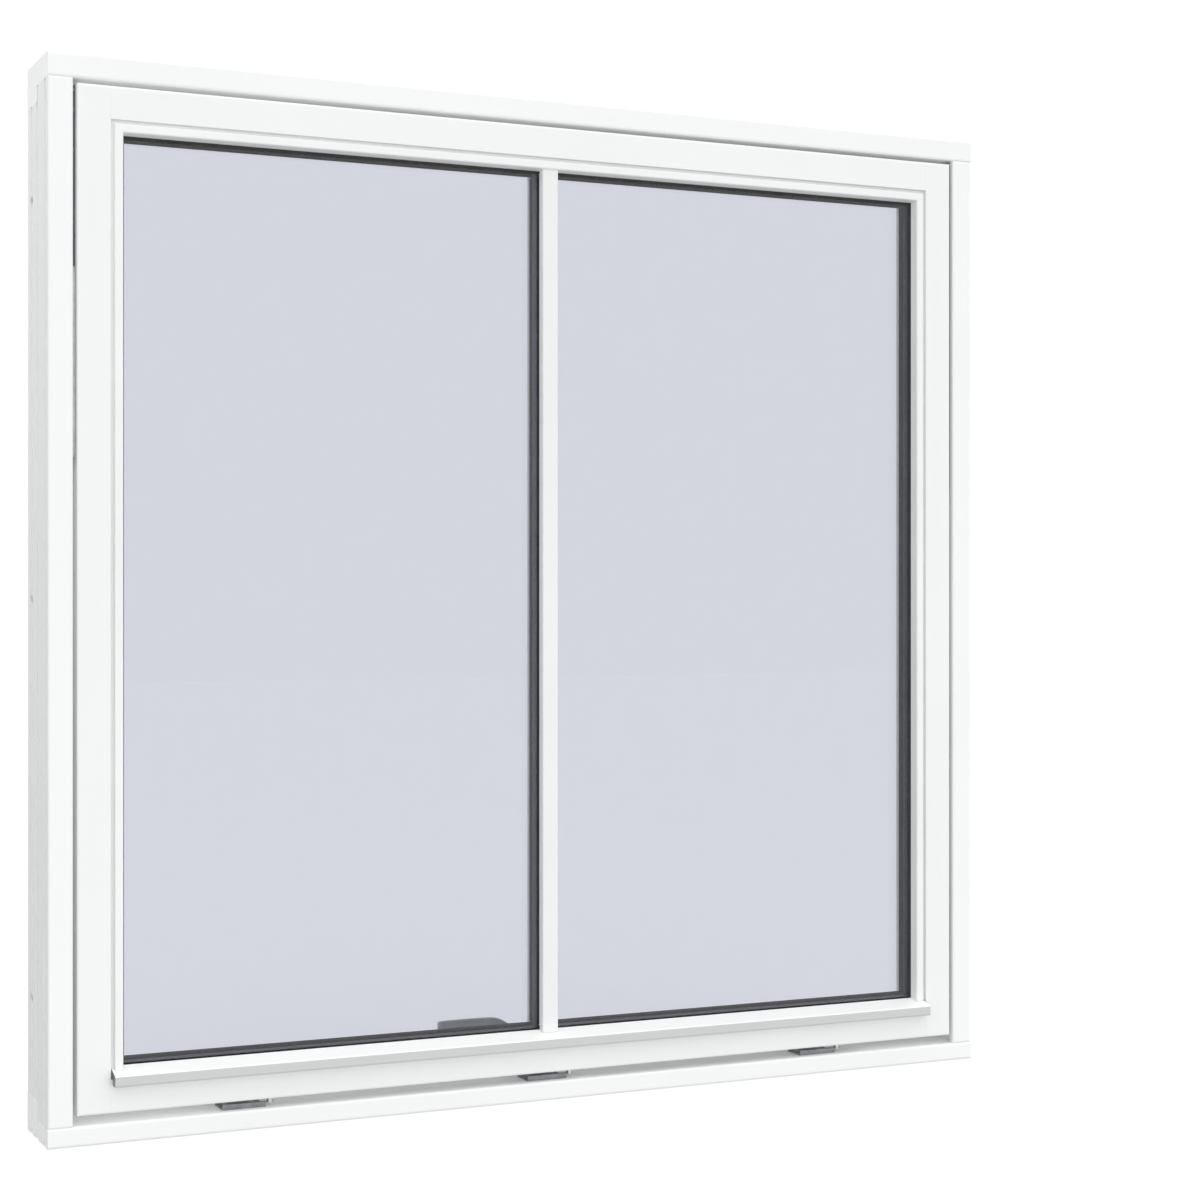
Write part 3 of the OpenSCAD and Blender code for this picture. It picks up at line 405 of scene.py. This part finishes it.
def cast_metal(name, dark, light):
    """Satin die casting with a fine blasted grain."""
    material, tree, shader = new_material(name)
    grain = noise(tree, object_coords(tree), 1500, 4, 0.65)
    cloud = noise(tree, object_coords(tree), 45, 3)
    tint = mix_colour(tree, map_range(tree, add(tree, cloud, grain, 0.6), 0.5, 1.1, 0, 1), dark, light)
    tree.links.new(tint, shader.inputs["Base Color"])
    tree.links.new(map_range(tree, grain, 0.2, 0.8, 0.38, 0.56), shader.inputs["Roughness"])
    shader.inputs["Metallic"].default_value = 0.2
    bump(tree, shader, grain, 0.06 * MM, 0.6)
    return material


def float_glass(name, tint):
    """Clear pane with a faint grey-blue body tint and the very slight waviness of float glass."""
    material, tree, shader = new_material(name)
    shader.inputs["Base Color"].default_value = (*tint, 1)
    shader.inputs["Transmission Weight"].default_value = 1
    shader.inputs["IOR"].default_value = 1.5
    film = noise(tree, object_coords(tree), 4, 2)
    tree.links.new(map_range(tree, film, 0.3, 0.7, 0.0, 0.012), shader.inputs["Roughness"])
    bump(tree, shader, noise(tree, object_coords(tree), 2.5, 1), 0.4 * MM, 0.1)
    return material


def beech(name):
    material, tree, shader = new_material(name)
    rays = noise(tree, object_coords(tree, (40, 900, 900)), 1, 5, 0.6)
    tint = mix_colour(tree, map_range(tree, rays, 0.3, 0.7, 0, 1), (0.52, 0.36, 0.2), (0.72, 0.56, 0.36))
    tree.links.new(tint, shader.inputs["Base Color"])
    tree.links.new(map_range(tree, rays, 0.2, 0.8, 0.5, 0.7), shader.inputs["Roughness"])
    bump(tree, shader, rays, 0.1 * MM, 0.5)
    return material


# ---- Mesh building blocks ----

def new_piece(name, node, mesh, material, smooth_angle=None):
    """A piece that stands for a CAD node: rides on its body, and the node is hidden."""
    piece = bpy.data.objects.new(name, mesh)
    bpy.context.scene.collection.objects.link(piece)
    mesh.materials.append(material)
    if smooth_angle:
        mesh.shade_smooth()
        mesh.set_sharp_from_angle(angle=math.radians(smooth_angle))
    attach(piece, BODY_OF[node])
    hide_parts(node)
    return piece


def arc(centre, radius, start, end, steps):
    """Points of a circular arc in a plane, ends included, angles in degrees."""
    return [(centre[0] + radius * math.cos(math.radians(start + (end - start) * k / steps)),
             centre[1] + radius * math.sin(math.radians(start + (end - start) * k / steps)))
            for k in range(steps + 1)]


def fix_normals(mesh):
    made = bmesh.new()
    made.from_mesh(mesh)
    bmesh.ops.recalc_face_normals(made, faces=made.faces)
    made.to_mesh(mesh)
    made.free()


def add_rings(made, rings, close=True):
    """Joins successive rings of points with quads and closes both ends."""
    loops = [[made.verts.new(p) for p in ring] for ring in rings]
    n = len(loops[0])
    for first, second in zip(loops, loops[1:]):
        for k in range(n):
            made.faces.new((first[k], first[(k + 1) % n], second[(k + 1) % n], second[k]))
    if close:
        made.faces.new(list(reversed(loops[0])))
        made.faces.new(loops[-1])
    return loops


def soften(node, width):
    """Rounds the sharp edges of a CAD node as it is shown, without touching its mesh."""
    piece = NODES[node]
    weld = piece.modifiers.new("weld", "WELD")
    weld.merge_threshold = 0.02 * MM
    edge = piece.modifiers.new("edges", "BEVEL")
    edge.width = width
    edge.segments = 2
    edge.limit_method = "ANGLE"
    edge.angle_limit = math.radians(40)
    edge.harden_normals = True
    edge.use_clamp_overlap = True


def clad(material, *nodes):
    for node in nodes:
        mesh = NODES[node].data
        mesh.materials.clear()
        mesh.materials.append(material)


# ---- Detailed pieces ----

def ring_round(node, section, bottom_share=1.0):
    """Profile swept round the node's box; bottom_share narrows its lowest run."""
    low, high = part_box(node)
    mesh = bpy.data.meshes.new(node + "_profile")
    verts, faces = [], []
    n = len(section)
    for corner in range(4):
        for inwards, y in section:
            x = low.x + inwards if corner in (0, 3) else high.x - inwards
            z = low.z + inwards * bottom_share if corner in (0, 1) else high.z - inwards
            verts.append((x, low.y + y, z))
    for corner in range(4):
        here, there = corner * n, (corner + 1) % 4 * n
        faces += [(here + k, here + (k + 1) % n, there + (k + 1) % n, there + k) for k in range(n)]
    mesh.from_pydata(verts, [], faces)
    fix_normals(mesh)
    return mesh


def scaled(points):
    return [(a * MM, b * MM) for a, b in points]


def make_weather_seal(material):
    """Bulb seal with a barbed root in the kerf of the stop, drawn in mm inwards and back."""
    bulb = arc((3, 2.3), 2.3, 200, 340, 10)
    right = [(5.5, 2.9), (6, 3.1), (5.8, 3.4), (4.5, 3.4), (4.2, 4.6), (4.5, 5.2), (4.1, 5.5),
             (4.4, 6.3), (4.0, 6.6), (4.2, 7.3), (3.5, 8.4)]
    left = [(6 - a, b) for a, b in reversed(right)]
    section = scaled(bulb + right + left)
    new_piece("weather_seal", "frame_gasket", ring_round("frame_gasket", section), material, 50)


def make_glazing_seals(material):
    """Wedge seals with a feathered lip that lies along each pane.

    The outer one's bottom run is narrower, so that it hides behind the drip bead.
    """
    outer = [(0, 0.3), (0.4, 0), (12.2, 0), (12.7, 0.4), (12.9, 1.5), (13.4, 2.5), (14.4, 3.1),
             (15.5, 3.6), (15.6, 4), (9.5, 4), (9, 3.6), (8.5, 4), (5.5, 4), (5, 3.6), (4.5, 4), (0, 4)]
    reach = max(inwards for inwards, y in outer) * MM
    drip_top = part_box("drip_bead")[1].z - 1.2 * MM
    bottom_share = (drip_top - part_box("glazing_gasket_outer")[0].z) / reach
    mesh = ring_round("glazing_gasket_outer", scaled(outer), bottom_share)
    new_piece("outer_seal", "glazing_gasket_outer", mesh, material, 50)
    inner = [(0, 0), (4.5, 0), (5, 0.4), (5.5, 0), (8.5, 0), (9, 0.4), (9.5, 0), (16.6, 0),
             (16.5, 0.4), (15.2, 1), (13.7, 1.5), (13, 2.3), (12.8, 3.4), (12.3, 3.9), (11.6, 4), (0, 4)]
    mesh = ring_round("glazing_gasket_inner", scaled(inner))
    new_piece("inner_seal", "glazing_gasket_inner", mesh, material, 50)


def make_bar_seals(material):
    """Seals between bars and panes, each with a lip that laps the sides of its bar."""
    tape_low, tape_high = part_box("bar_tape")
    tape_t, lip_t, eased = 1 * MM, 0.12 * MM, 0.5 * MM
    mesh = bpy.data.meshes.new("bar_seals")
    made = bmesh.new()
    outer = ("glazing_bar_outer", tape_low.y + tape_t, tape_low.y, 2.4 * MM)
    inner = ("glazing_bar_inner", tape_high.y - tape_t, tape_high.y, 5.5 * MM)
    for bar, glass_y, foot_y, lap in (outer, inner):
        away = math.copysign(1, foot_y - glass_y)
        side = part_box(bar)[1].x
        half = side + lip_t
        section = [(-half + eased, glass_y), (half - eased, glass_y), (half, glass_y + away * 0.6 * MM),
                   (half, foot_y + away * lap * 0.8), (side - 0.3 * MM, foot_y + away * lap),
                   (side - 1.5 * MM, foot_y + away * 0.4 * MM)]
        section += [(-x, y) for x, y in reversed(section[2:])]
        add_rings(made, [[Vector((x, y, z)) for x, y in section] for z in (tape_low.z, tape_high.z)])
    made.to_mesh(mesh)
    made.free()
    fix_normals(mesh)
    new_piece("bar_seals", "bar_tape", mesh, material, 40)


def make_spacer(material):
    """Shouldered spacer with a groove along the middle of its visible face."""
    half = [(0, 4.2), (1.2, 3.4), (3.4, 0), (8.2, 0), (8.7, 0.2), (9, 0.6), (9, 6.2), (8.6, 6.5)]
    section = scaled(half + [(a, 14 - b) for a, b in reversed(half)])
    new_piece("spacer_profile", "spacer_frame", ring_round("spacer_frame", section), material, 35)


def islands(node):
    """Lowest and highest corner of each separate solid of a node."""
    mesh = NODES[node].data
    key = [tuple(round(c, 6) for c in v.co) for v in mesh.vertices]
    parent = {k: k for k in key}

    def root(k):
        while parent[k] != k:
            parent[k] = parent[parent[k]]
            k = parent[k]
        return k

    for face in mesh.polygons:
        first = root(key[face.vertices[0]])
        for v in face.vertices[1:]:
            parent[root(key[v])] = first
    groups = {}
    for k in parent:
        groups.setdefault(root(k), []).append(k)
    boxes = [([min(p[a] for p in g) for a in range(3)], [max(p[a] for p in g) for a in range(3)])
             for g in groups.values()]
    return sorted(boxes)


def turned(origin, axis, profile, steps, outline=None):
    """Rings of a turned piece. profile gives each ring's distance along the axis and its radius.

    A ring with a third entry isn't round: outline says how far it reaches at each turn.
    """
    across = Vector((0, 0, 1)) if abs(axis.z) < 0.5 else Vector((1, 0, 0))
    other = axis.cross(across)
    rings = []
    for distance, radius, *shape in profile:
        centre = origin + axis * distance
        ring = []
        for k in range(steps):
            turn = math.tau * k / steps
            reach = radius * (outline(turn) if shape else 1)
            ring.append(centre + (across * math.cos(turn) + other * math.sin(turn)) * reach)
        rings.append(ring)
    return rings


def star(turn):
    """Six-lobed outline of a driver recess."""
    return 1 + 0.16 * math.cos(6 * turn)


def hexagon(turn):
    """Distance to a hexagon's side, for a corner at each sixth of a turn."""
    sixth = math.tau / 6
    return math.cos(sixth / 2) / math.cos(turn % sixth - sixth / 2)


def thread(start, end, major, minor, pitch):
    """Points of a thread's profile from start down to end."""
    turns = int((end - start) / pitch)
    return [point for k in range(turns)
            for point in ((start + k * pitch, minor), (start + (k + 0.5) * pitch, major))]


def make_screws(node, name, axis, head, shank, material, sunk_head=0.0):
    """Screws whose heads face along axis; head and shank are radii.

    The heads are countersunk, or cylinders of thickness sunk_head. Along X a screw faces the middle
    or the outside of the window, and a sunk head faces down in the lower half of the frame.
    """
    axis = Vector(axis)
    mid_height = (CAD_BOX[0].z + CAD_BOX[1].z) / 2
    recess, chamfer, pitch = 0.7 * MM, 0.3 * MM, 1.3 * MM
    root = shank * 0.74
    mesh = bpy.data.meshes.new(name)
    made = bmesh.new()
    for low, high in islands(node):
        low, high = Vector(low), Vector(high)
        outward = axis
        if axis.x:
            outward = Vector((math.copysign(1, -(low.x + high.x) * axis.x), 0, 0))
        if sunk_head and low.z < mid_height:
            outward = Vector((0, 0, -1))
        length = abs((high - low).dot(outward))
        top = (low + high) / 2 + outward * length / 2
        profile = [(recess, head * 0.42, "star"), (0, head * 0.46, "star"), (0, head - 0.25 * MM),
                   (0.2 * MM, head)]
        neck = sunk_head + shank / 2 if sunk_head else head - shank
        if sunk_head:
            profile += [(sunk_head - chamfer, head), (sunk_head, head - chamfer)]
        profile += [(neck, shank * 0.9)]
        profile += thread(neck + 1.5 * MM, length - 1.6 * shank, shank, root, pitch)
        profile += [(length - 1.5 * shank, shank * 0.7), (length - 0.05 * MM, 0.2 * MM)]
        add_rings(made, turned(top, -outward, profile, 18, star))
    made.to_mesh(mesh)
    made.free()
    fix_normals(mesh)
    new_piece(name, node, mesh, material, 40)


def make_sleeves(material):
    """Threaded mounting sleeves with a six-sided socket at the reveal."""
    mesh = bpy.data.meshes.new("adjuster_sleeves")
    made = bmesh.new()
    bore, socket_depth = 4.2 * MM, 7 * MM
    chamfer, thread_depth, pitch = 0.8 * MM, 0.7 * MM, 2.4 * MM
    steps = 24
    for low, high in islands("frame_sleeves"):
        low, high = Vector(low), Vector(high)
        radius = (high.z - low.z) / 2
        length = high.x - low.x
        towards = Vector((math.copysign(1, -(low.x + high.x)), 0, 0))
        start = (low + high) / 2 - towards * length / 2
        profile = [(0, bore), (0, radius - chamfer)]
        profile += thread(chamfer, length - 1.2 * MM, radius, radius - thread_depth, pitch)
        profile += [(length - 0.4 * MM, radius - 0.5 * MM), (length, radius - 1 * MM),
                    (length, bore * 1.32, "hex"), (length - socket_depth, bore * 1.28, "hex"),
                    (length - socket_depth - 0.5 * MM, bore)]
        loops = add_rings(made, turned(start, towards, profile, steps, hexagon), close=False)
        first, last = loops[0], loops[-1]
        for k in range(steps):
            made.faces.new((last[k], last[(k + 1) % steps], first[(k + 1) % steps], first[k]))
    made.to_mesh(mesh)
    made.free()
    fix_normals(mesh)
    new_piece("adjuster_sleeves", "frame_sleeves", mesh, material, 40)


def make_lever(material):
    """Cast lever: hub, a neck cranked up and back, and a flat rounded grip."""
    base_low, base_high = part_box("handle_base")
    hub_z = (base_low.z + base_high.z) / 2
    clearance = 0.3 * MM
    front = base_high.y + clearance
    steps = 16
    squareness = 0.42
    # Distance from the hub's axis, then lower and upper edge, near and far side, all in mm
    stations = [
        (6.9, -2.5, 5.0, 2.0, 10.0), (5.4, -4.8, 7.6, 0.4, 12.6), (2.0, -6.6, 10.6, 0.1, 15.4),
        (-3.0, -6.8, 14.0, 0.1, 19.0), (-8.0, -4.6, 17.6, 2.2, 23.0), (-14.0, 3.0, 21.8, 7.0, 27.0),
        (-21.0, 11.5, 26.4, 13.2, 29.9), (-28.0, 18.6, 31.0, 18.6, 31.0), (-36.0, 22.2, 34.3, 21.3, 31.1),
        (-46.0, 23.0, 34.9, 21.7, 31.2), (-75.0, 23.0, 35.0, 21.7, 31.2), (-100.0, 23.0, 35.0, 21.7, 31.2),
        (-108.5, 23.3, 34.6, 22.0, 30.9), (-110.9, 24.6, 33.2, 23.2, 29.7)
    ]
    made = bmesh.new()
    rings = []
    for x, z0, z1, y0, y1 in stations:
        centre = Vector((x * MM, front + (y0 + y1) / 2 * MM, hub_z + (z0 + z1) / 2 * MM))
        ring = []
        for k in range(steps):
            turn = math.tau * (k + 0.5) / steps
            c, s = math.cos(turn), math.sin(turn)
            y = math.copysign(abs(c) ** squareness, c) * (y1 - y0) / 2 * MM
            z = math.copysign(abs(s) ** squareness, s) * (z1 - z0) / 2 * MM
            ring.append(centre + Vector((0, y, z)))
        rings.append(ring)
    add_rings(made, rings)
    # Distance from the base and radius, in mm
    collar = [(0, 6.2), (0.3, 6.9), (1.6, 6.9), (1.9, 6.4)]
    hub = Vector((0, front, hub_z))
    add_rings(made, turned(hub, Vector((0, 1, 0)), [(a * MM, r * MM) for a, r in collar], 32))
    mesh = bpy.data.meshes.new("lever_casting")
    made.to_mesh(mesh)
    made.free()
    fix_normals(mesh)
    lever = new_piece("lever_casting", "handle_lever", mesh, material, 60)
    smooth = lever.modifiers.new("smooth", "SUBSURF")
    smooth.levels = 2
    smooth.render_levels = 2


# ---- Build ----

make_camera()
make_world()
make_side_light()
make_fill("fill_front", (0.2, 1, 0), 0.52)
make_fill("fill_above", (0, 0, -1), 0.6)
make_fill("fill_below", (0, 0, 1), 0.36)
make_floor()

WHITE_PALE, WHITE_DEEP = (0.925, 0.935, 0.935), (0.895, 0.905, 0.905)
SASH_PALE, SASH_DEEP = (0.9, 0.912, 0.912), (0.87, 0.882, 0.882)
# The upright frame paint gets painted shade on its faces that look left and right
frame_paint_z = painted_timber("frame_paint_upright", "Z", WHITE_PALE, WHITE_DEEP, 0.9)
frame_paint_x = painted_timber("frame_paint_lengthwise", "X", WHITE_PALE, WHITE_DEEP)
sash_paint_z = painted_timber("sash_paint_upright", "Z", SASH_PALE, SASH_DEEP)
sash_paint_x = painted_timber("sash_paint_lengthwise", "X", SASH_PALE, SASH_DEEP)
coat = coated_metal("bead_coat", SASH_PALE, SASH_DEEP)[0]
bar_coat = coated_metal("bar_coat", (0.865, 0.878, 0.875), (0.84, 0.853, 0.85))[0]
DRIP_PALE, DRIP_DEEP = (0.95, 0.955, 0.955), (0.93, 0.935, 0.935)
# The second colour is painted shade along the lower edge of the drip
NOSE, SHADED_EDGE = (0.6, 0.61, 0.605), (0.5, 0.505, 0.5)
drip_coat = drip_coating("drip_coat", DRIP_PALE, DRIP_DEEP, NOSE, SHADED_EDGE)
seal = rubber("seal_rubber", (0.014, 0.014, 0.016), (0.026, 0.026, 0.029), 0.66)
sealant = rubber("butyl", (0.012, 0.012, 0.013), (0.02, 0.02, 0.022), 0.5)
foam = rubber("foam_tape", (0.016, 0.016, 0.018), (0.03, 0.03, 0.033), 0.85)
glass = float_glass("float_glass", (0.772, 0.781, 0.822))
spacer_face = mottled("spacer_face", (0.065, 0.072, 0.083), (0.155, 0.168, 0.19), 0.55, 1500)
nylon = mottled("nylon", (0.035, 0.035, 0.04), (0.06, 0.06, 0.066), 0.5)
blocks = mottled("setting_block", (0.16, 0.16, 0.18), (0.24, 0.24, 0.26), 0.5)
cap_face = cap_coating("cap_face", DRIP_PALE, DRIP_DEEP, NOSE, SHADED_EDGE,
                       (0.1, 0.1, 0.11), (0.22, 0.225, 0.245))
stay_zinc = plated("stay_zinc", (0.42, 0.43, 0.45), (0.62, 0.63, 0.65), 0.36)
plate_zinc = plated("plate_zinc", (0.38, 0.39, 0.42), (0.54, 0.55, 0.58), 0.42)
keep_zinc = plated("keep_zinc", (0.19, 0.195, 0.205), (0.32, 0.325, 0.34), 0.42, "X")
lock_zinc = plated("lock_zinc", (0.42, 0.43, 0.44), (0.58, 0.58, 0.6), 0.38, "X")
cam_zinc = plated("cam_zinc", (0.62, 0.62, 0.63), (0.76, 0.76, 0.77), 0.34)
screw_zinc = plated("screw_zinc", (0.5, 0.5, 0.5), (0.68, 0.68, 0.68), 0.3)
satin = cast_metal("satin_casting", (0.15, 0.155, 0.165), (0.25, 0.255, 0.265))
dowel_wood = beech("beech")

clad(frame_paint_z, "frame_jamb_left", "frame_jamb_right")
clad(frame_paint_x, "frame_head", "frame_sill")
clad(sash_paint_z, "sash_stile_left", "sash_stile_right")
clad(sash_paint_x, "sash_top_rail", "sash_bottom_rail")
clad(coat, "bead_top", "bead_left", "bead_right")
clad(bar_coat, "glazing_bar_outer", "glazing_bar_inner")
clad(drip_coat, "drip_bead")
clad(cap_face, "drip_cap_left", "drip_cap_right")
clad(seal, "frame_gasket", "glazing_gasket_outer", "glazing_gasket_inner")
clad(sealant, "edge_sealant")
clad(foam, "bar_tape")
clad(glass, "glass_outer", "glass_inner")
clad(spacer_face, "spacer_frame", "spacer_bar")
clad(nylon, "arm_bushes", "guide_shoe_left", "guide_shoe_right")
clad(blocks, "setting_blocks")
clad(stay_zinc, "guide_rail_left", "guide_rail_right", "stay_arm_left", "stay_arm_right",
     "arm_foot_pins", "arm_middle_pins", "shoe_pins")
clad(plate_zinc, "sash_plate_left", "sash_plate_right")
clad(keep_zinc, "keep_left", "keep_center", "keep_right")
clad(lock_zinc, "lock_case", "lock_faceplate", "lock_pinion", "lock_rod", "handle_spindle")
clad(cam_zinc, "lock_cams")
clad(screw_zinc, "frame_corner_screws", "frame_sleeves", "guide_rail_screws", "keep_screws",
     "sash_plate_screws", "faceplate_screws", "handle_screws")
clad(satin, "handle_base", "handle_lever")
clad(dowel_wood, "sash_dowels")

make_weather_seal(seal)
make_glazing_seals(seal)
make_bar_seals(foam)
make_spacer(spacer_face)
for node in ("spacer_bar", "keep_left", "keep_center", "keep_right", "handle_base"):
    soften(node, 0.6 * MM)
make_screws("guide_rail_screws", "rail_screw_heads", (1, 0, 0), 3.5 * MM, 1.75 * MM, screw_zinc)
make_screws("sash_plate_screws", "plate_screw_heads", (-1, 0, 0), 3.5 * MM, 1.75 * MM, screw_zinc)
make_screws("keep_screws", "keep_screw_heads", (0, 0, 1), 3.5 * MM, 1.75 * MM, screw_zinc)
make_screws("faceplate_screws", "faceplate_screw_heads", (0, 0, -1), 3 * MM, 1.5 * MM, screw_zinc)
make_screws("handle_screws", "handle_screw_heads", (0, 1, 0), 3.5 * MM, 1.75 * MM, screw_zinc)
make_screws("frame_corner_screws", "corner_screw_heads", (0, 0, 1), 5 * MM, 2.5 * MM, screw_zinc, 4 * MM)
make_sleeves(screw_zinc)
make_lever(satin)

bpy.context.scene.view_settings.view_transform = "Standard"
